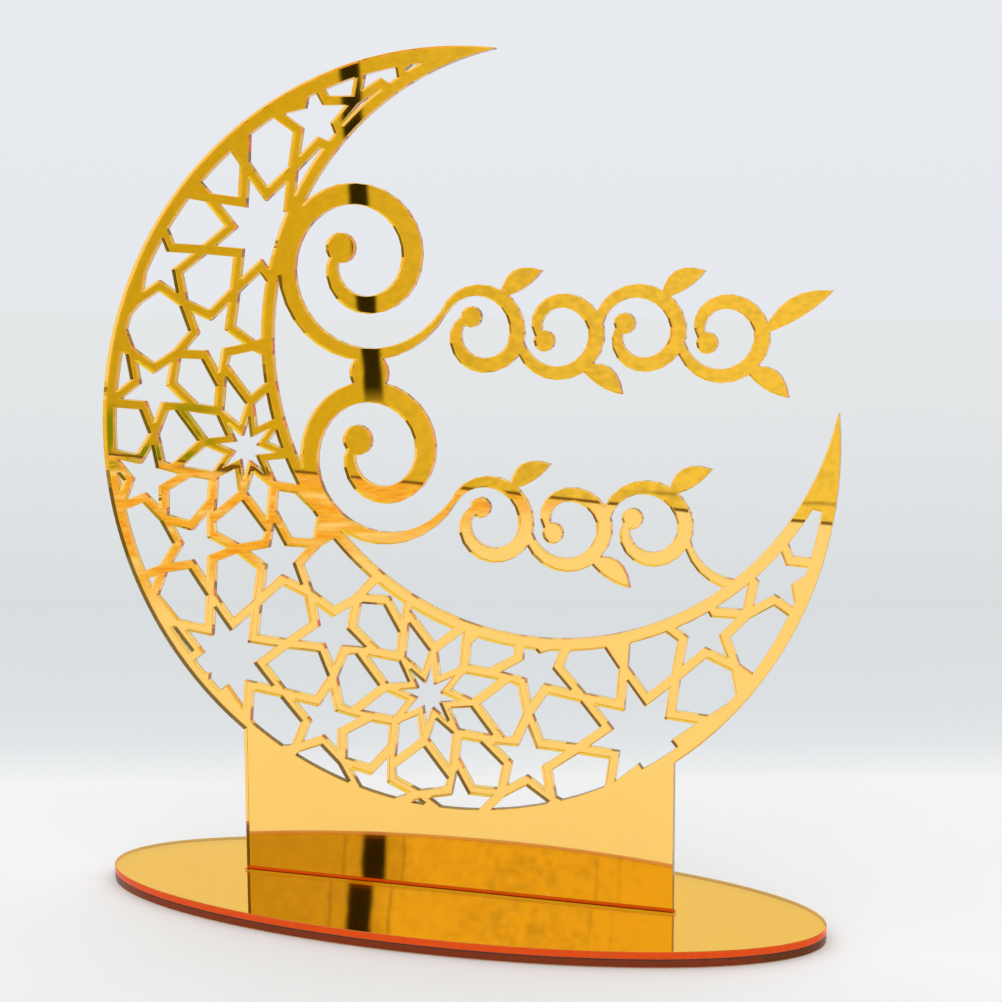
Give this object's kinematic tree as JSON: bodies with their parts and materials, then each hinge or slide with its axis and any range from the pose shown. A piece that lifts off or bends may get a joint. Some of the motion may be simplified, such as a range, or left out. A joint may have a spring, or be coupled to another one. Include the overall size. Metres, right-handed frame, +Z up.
{
  "type": "eid crescent ornament",
  "caption": "Gold mirror crescent moon with cut star fretwork and scroll ornament, standing in a slotted oval two-plate base as a table decoration.",
  "frame": {"origin": "on the table under the middle of the base", "axes": "+Z up, +X along the crescent to the viewer's right, +Y away from the viewer, so the mirror face looks along -Y"},
  "size_m": [0.2, 0.0736, 0.2235],
  "materials": {
    "gold_sheet": "mirror gloss gold, second-surface mirror",
    "gold_base_sheet": "mirror gloss gold, second-surface mirror",
    "dark_base_sheet": "gloss, brown at the cut edge",
    "backing_paint": "matte grey backing paint over the mirror film"
  },
  "bodies": {
    "base": {"base_bottom_plate": "dark_base_sheet", "base_bottom_mirror_backing": "backing_paint", "base_top_mirror_backing": "backing_paint", "base_top_plate": "gold_base_sheet"},
    "crescent": {"crescent_panel": "gold_sheet", "crescent_mirror_backing": "backing_paint"}
  },
  "joints": [
    {"name": "panel_lift", "type": "slide", "parent": "base", "child": "crescent", "axis": [0, 0, 1], "range_m": [0, 0.03]}
  ]
}
